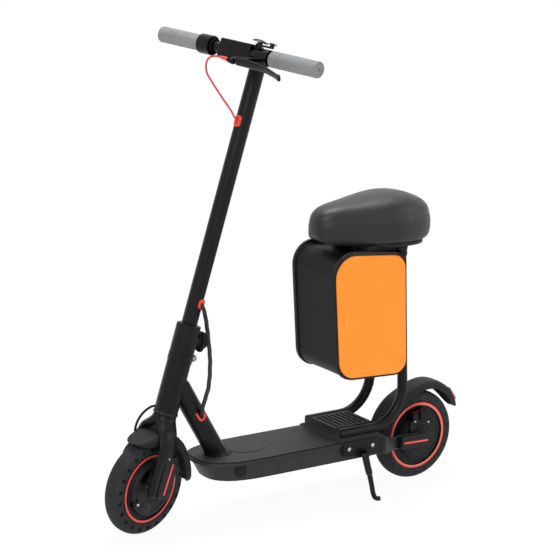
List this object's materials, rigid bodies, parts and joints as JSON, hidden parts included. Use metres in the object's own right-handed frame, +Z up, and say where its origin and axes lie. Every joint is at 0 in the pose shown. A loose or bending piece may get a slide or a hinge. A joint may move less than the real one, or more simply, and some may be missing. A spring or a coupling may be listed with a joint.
{
  "type": "seated electric scooter",
  "caption": "Seated electric scooter with a folding pole, hub wheels under fenders, a low deck, a padded saddle on side tubes, a bag with an orange lid under it, and a kickstand.",
  "frame": {"origin": "on the ground, under the middle of the outer sizes with the handlebar turned to the left as it is parked", "axes": "+X to the rear, +Y to the rider's right, +Z up"},
  "size_m": [0.9828, 0.4402, 1.0816],
  "materials": {
    "frame_paint": "satin black powder coat",
    "deck_alloy": "satin black coat on cast alloy",
    "hub_alloy": "matt black coat",
    "dark_alloy": "dark anodised",
    "steel": "brushed",
    "black_plastic": "matt, finely grained",
    "red_plastic": "satin",
    "red_sheath": "smooth cable sheath",
    "red_rubber": "matt",
    "red_lens": "clear gloss over prisms",
    "gloss_window": "mirror gloss black",
    "black_rubber": "matt rubber",
    "grip_foam": "soft foam",
    "tyre_rubber": "moulded rubber",
    "saddle_leather": "grained synthetic leather",
    "bag_leather": "grained synthetic leather with stitched edges",
    "orange_leather": "grained synthetic leather, padded, black border",
    "cell_wrap": "shrink wrap"
  },
  "bodies": {
    "frame": {"frame_neck": "frame_paint", "neck_grommet": "red_rubber", "bearing_lower": "steel", "bearing_upper": "steel", "deck_shell": "deck_alloy", "deck_mat": "black_rubber", "battery_cover": "black_plastic", "battery_pack": "cell_wrap", "motor_controller": "dark_alloy", "rear_stay_left": "frame_paint", "rear_stay_right": "frame_paint", "stay_cover_left": "black_plastic", "stay_cover_right": "black_plastic", "rear_axle": "steel", "rear_fender": "black_plastic", "tail_light": "red_lens", "brake_caliper": "dark_alloy", "foot_rest": "black_plastic", "seat_tube_left": "frame_paint", "seat_tube_right": "frame_paint", "seat_bridge": "frame_paint", "saddle_pan": "black_plastic", "saddle_cushion": "saddle_leather", "bag_body": "bag_leather", "stand_bracket": "frame_paint", "harness_lower": "black_rubber"},
    "fork": {"fork": "frame_paint", "fork_cover_left": "black_plastic", "fork_cover_right": "black_plastic", "front_fender": "black_plastic", "hinge_base": "frame_paint", "hinge_pin": "steel", "front_axle": "steel", "motor_cable": "black_rubber"},
    "stem": {"stem_pole": "frame_paint", "stem_grommet": "red_rubber", "brake_cable": "red_sheath", "handlebar": "frame_paint", "grip_left": "grip_foam", "grip_right": "grip_foam", "throttle_collar": "black_plastic", "head_block": "black_plastic", "head_window": "gloss_window", "bell": "black_plastic", "brake_perch": "black_plastic", "harness_upper": "black_rubber"},
    "latch": {"latch_lever": "frame_paint"},
    "front_wheel": {"front_hub_motor": "hub_alloy", "front_tyre": "tyre_rubber"},
    "rear_wheel": {"rear_rim": "hub_alloy", "rear_tyre": "tyre_rubber", "brake_disc": "steel"},
    "throttle": {"throttle_lever": "black_plastic"},
    "brake": {"brake_lever": "dark_alloy"},
    "bell_thumb": {"bell_lever": "black_plastic"},
    "button": {"power_button": "red_plastic"},
    "arm": {"caliper_arm": "steel"},
    "stand": {"kickstand": "frame_paint"},
    "lid": {"bag_lid": "orange_leather"},
    "port_cap": {"charge_cap": "black_rubber"}
  },
  "joints": [
    {"name": "steer", "type": "hinge", "parent": "frame", "child": "fork", "pos_m": [-0.38328, 0.01953, 0.10602], "axis": [0.2823, 0, 0.9593], "range_deg": [-60, 30], "deforming": ["harness_lower", "motor_cable"]},
    {"name": "fold", "type": "hinge", "parent": "fork", "child": "stem", "pos_m": [-0.2724, 0.02727, 0.38194], "axis": [-0.2515, 0.965, 0.074], "range_deg": [0, 25], "deforming": ["harness_upper"]},
    {"name": "latch_turn", "type": "hinge", "parent": "stem", "child": "latch", "pos_m": [-0.24985, 0.0295, 0.42951], "axis": [0.2515, -0.965, -0.074], "range_deg": [0, 70]},
    {"name": "front_wheel_spin", "type": "hinge", "parent": "fork", "child": "front_wheel", "pos_m": [-0.38976, 0.0177, 0.10793], "axis": [-0.2515, 0.965, 0.074], "continuous": true},
    {"name": "rear_wheel_spin", "type": "hinge", "parent": "frame", "child": "rear_wheel", "pos_m": [0.357, 0.01953, 0.108], "axis": [0, 1, 0], "continuous": true},
    {"name": "throttle_press", "type": "hinge", "parent": "stem", "child": "throttle", "pos_m": [-0.18106, 0, 1.04774], "axis": [-0.2515, 0.965, 0.074], "range_deg": [0, 45], "stiffness_Nm_per_rad": 0.2, "springref_deg": -28.65},
    {"name": "brake_squeeze", "type": "hinge", "parent": "stem", "child": "brake", "pos_m": [-0.20304, -0.0378, 1.03356], "axis": [-0.3301, -0.1574, 0.9307], "range_deg": [0, 16], "stiffness_Nm_per_rad": 4, "springref_deg": -8.59},
    {"name": "bell_press", "type": "hinge", "parent": "stem", "child": "bell_thumb", "pos_m": [-0.16177, -0.05018, 1.065], "axis": [0.2823, 0, 0.9593], "range_deg": [0, 20], "stiffness_Nm_per_rad": 0.1, "springref_deg": -17.19},
    {"name": "button_press", "type": "slide", "parent": "stem", "child": "button", "axis": [-0.2823, 0, -0.9593], "range_m": [0, 0.0015], "stiffness_N_per_m": 800, "springref_m": -0.001},
    {"name": "caliper_arm_pull", "type": "hinge", "parent": "frame", "child": "arm", "pos_m": [0.34797, -0.02697, 0.15921], "axis": [0, -1, 0], "range_deg": [0, 20]},
    {"name": "stand_swing", "type": "hinge", "parent": "frame", "child": "stand", "pos_m": [0.146, -0.07847, 0.12], "axis": [0, -1, 0], "range_deg": [0, 75]},
    {"name": "lid_swing", "type": "hinge", "parent": "frame", "child": "lid", "pos_m": [0.25921, -0.05507, 0.43617], "axis": [-0.0645, 0, 0.9979], "range_deg": [0, 100]},
    {"name": "port_cap_swing", "type": "hinge", "parent": "frame", "child": "port_cap", "pos_m": [-0.19804, -0.04989, 0.12693], "axis": [0.0385, 0.1716, -0.9844], "range_deg": [0, 100]}
  ],
  "couplings": [
    {"joint": "caliper_arm_pull", "follows": "brake_squeeze", "ratio": 1.2}
  ]
}
